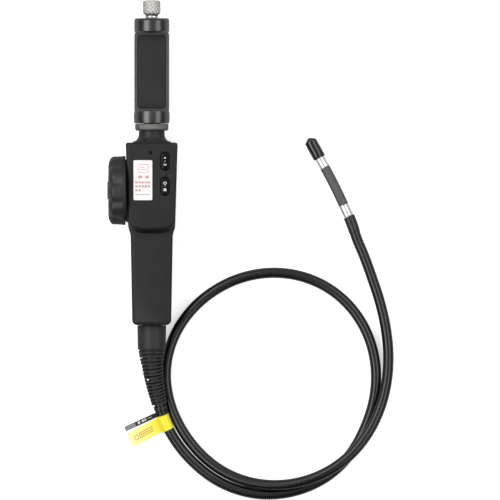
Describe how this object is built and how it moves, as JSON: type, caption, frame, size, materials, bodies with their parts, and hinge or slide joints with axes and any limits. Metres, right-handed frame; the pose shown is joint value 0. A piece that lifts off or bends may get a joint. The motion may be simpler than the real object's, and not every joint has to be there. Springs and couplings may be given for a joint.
{
  "type": "inspection camera",
  "caption": "Articulating borescope: handle with steering wheel and buttons, swivelling phone clamp, coiled insertion tube, bending braided tip with a capped camera head.",
  "frame": {"origin": "on the flat back of the handle, on its centre line, level with the steering wheel's axis; the camera lies on its back on z = 0", "axes": "+Z away from the bench, out of the handle's front; +Y along the handle towards the phone clamp; +X to the right, away from the steering wheel"},
  "size_m": [0.2345, 0.4098, 0.0573],
  "materials": {
    "anodised": "black anodised, glossy",
    "anodised_satin": "dark grey anodised, satin, fluted",
    "board": "green solder mask",
    "braid": "fine grey-black braid",
    "brass": "plain turned brass",
    "cell": "heat-shrunk sleeve",
    "glass": "clear coated glass",
    "gloss_black": "polished black plastic",
    "label": "white printed film",
    "light": "milky diffuser",
    "nickel": "bright nickel plated, knurled",
    "rubber_black": "matt black rubber",
    "shell": "matt black moulded plastic with a fine texture",
    "steel": "bright turned steel",
    "tag_black": "black printed film",
    "tag_yellow": "yellow printed film",
    "tube_black": "satin black jacket over a wound core",
    "wheel_plastic": "matt black soft-touch plastic"
  },
  "bodies": {
    "root": {"rear_shell": "shell", "front_shell": "shell", "case_screw_1": "steel", "case_screw_2": "steel", "case_screw_3": "steel", "case_screw_4": "steel", "main_board": "board", "switch_upper": "gloss_black", "switch_lower": "gloss_black", "charge_socket": "steel", "battery_cell": "cell", "light_pipe": "light", "label": "label", "wire_guide": "shell", "cable_clamp": "steel", "bush_outer": "brass", "bush_inner": "brass", "clamp_socket": "shell", "insertion_tube": "tube_black", "strain_relief": "rubber_black", "relief_collet": "rubber_black", "tag_yellow": "tag_yellow", "tag_black": "tag_black", "heat_shrink": "tube_black", "base_ring": "steel"},
    "wheel": {"steering_wheel": "wheel_plastic", "wheel_shaft": "steel", "wheel_screw": "steel", "wire_drum": "brass"},
    "wire_upper": {"pull_wire_upper": "steel"},
    "wire_lower": {"pull_wire_lower": "steel"},
    "button_upper": {"button_upper": "gloss_black"},
    "button_lower": {"button_lower": "gloss_black"},
    "clamp": {"lower_jaw": "anodised", "clamp_rail": "anodised_satin", "phone_pad": "rubber_black", "jaw_spring": "steel"},
    "lock_ring": {"lock_ring": "anodised_satin"},
    "top_jaw": {"top_jaw": "anodised", "guide_rod_left": "steel", "guide_rod_right": "steel"},
    "clamp_knob": {"clamp_knob": "nickel", "knob_spindle": "nickel"},
    "link_1": {"bend_link_1": "steel", "sheath_1": "braid"},
    "link_2": {"bend_link_2": "steel", "sheath_2": "braid"},
    "link_3": {"bend_link_3": "steel", "sheath_3": "braid"},
    "link_4": {"bend_link_4": "steel", "sheath_4": "braid"},
    "link_5": {"bend_link_5": "steel", "sheath_5": "braid"},
    "head": {"camera_head": "steel", "lens": "glass", "light_ring": "light", "sensor_board": "board"},
    "cap": {"tip_cap": "gloss_black"}
  },
  "joints": [
    {"name": "wheel_turn", "type": "hinge", "parent": "root", "child": "wheel", "pos_m": [0, 0, 0.029], "axis": [1, 0, 0], "range_deg": [-90, 90]},
    {"name": "wire_upper_slide", "type": "slide", "parent": "root", "child": "wire_upper", "axis": [0, 1, 0], "range_m": [-0.0083, 0.0083]},
    {"name": "wire_lower_slide", "type": "slide", "parent": "root", "child": "wire_lower", "axis": [0, 1, 0], "range_m": [-0.0083, 0.0083]},
    {"name": "button_upper_press", "type": "slide", "parent": "root", "child": "button_upper", "axis": [0, 0, -1], "range_m": [0, 0.0008]},
    {"name": "button_lower_press", "type": "slide", "parent": "root", "child": "button_lower", "axis": [0, 0, -1], "range_m": [0, 0.0008]},
    {"name": "clamp_swivel", "type": "hinge", "parent": "root", "child": "clamp", "pos_m": [0, 0.0551, 0.024], "axis": [0, 1, 0], "range_deg": [-90, 90]},
    {"name": "lock_ring_turn", "type": "hinge", "parent": "root", "child": "lock_ring", "pos_m": [0, 0.049, 0.024], "axis": [0, 1, 0], "range_deg": [-60, 60]},
    {"name": "jaw_slide", "type": "slide", "parent": "clamp", "child": "top_jaw", "axis": [0, 1, 0], "range_m": [0, 0.025]},
    {"name": "knob_turn", "type": "hinge", "parent": "top_jaw", "child": "clamp_knob", "pos_m": [0, 0.1443, 0.024], "axis": [0, 1, 0], "range_deg": [-180, 180]},
    {"name": "bend_1", "type": "hinge", "parent": "root", "child": "link_1", "pos_m": [0.15623, -0.0091, 0.0055], "axis": [0, 0, 1], "range_deg": [-30.5, 30.5]},
    {"name": "bend_2", "type": "hinge", "parent": "link_1", "child": "link_2", "pos_m": [0.15381, -0.0039, 0.0055], "axis": [0, 0, 1], "range_deg": [-30.5, 30.5]},
    {"name": "bend_3", "type": "hinge", "parent": "link_2", "child": "link_3", "pos_m": [0.15131, 0.00126, 0.0055], "axis": [0, 0, 1], "range_deg": [-30.5, 30.5]},
    {"name": "bend_4", "type": "hinge", "parent": "link_3", "child": "link_4", "pos_m": [0.14875, 0.00639, 0.0055], "axis": [0, 0, 1], "range_deg": [-30.5, 30.5]},
    {"name": "bend_5", "type": "hinge", "parent": "link_4", "child": "link_5", "pos_m": [0.14612, 0.01148, 0.0055], "axis": [0, 0, 1], "range_deg": [-30.5, 30.5]},
    {"name": "bend_6", "type": "hinge", "parent": "link_5", "child": "head", "pos_m": [0.14342, 0.01654, 0.0055], "axis": [0, 0, 1], "range_deg": [-30.5, 30.5]},
    {"name": "cap_pull", "type": "slide", "parent": "head", "child": "cap", "axis": [-0.4833, 0.8755, 0], "range_m": [0, 0.018]}
  ],
  "couplings": [
    {"joint": "bend_1", "follows": "wheel_turn", "ratio": 0.33333},
    {"joint": "bend_2", "follows": "wheel_turn", "ratio": 0.33333},
    {"joint": "bend_3", "follows": "wheel_turn", "ratio": 0.33333},
    {"joint": "bend_4", "follows": "wheel_turn", "ratio": 0.33333},
    {"joint": "bend_5", "follows": "wheel_turn", "ratio": 0.33333},
    {"joint": "bend_6", "follows": "wheel_turn", "ratio": 0.33333},
    {"joint": "wire_upper_slide", "follows": "wheel_turn", "m_per_rad": -0.0052},
    {"joint": "wire_lower_slide", "follows": "wheel_turn", "m_per_rad": 0.0052}
  ]
}
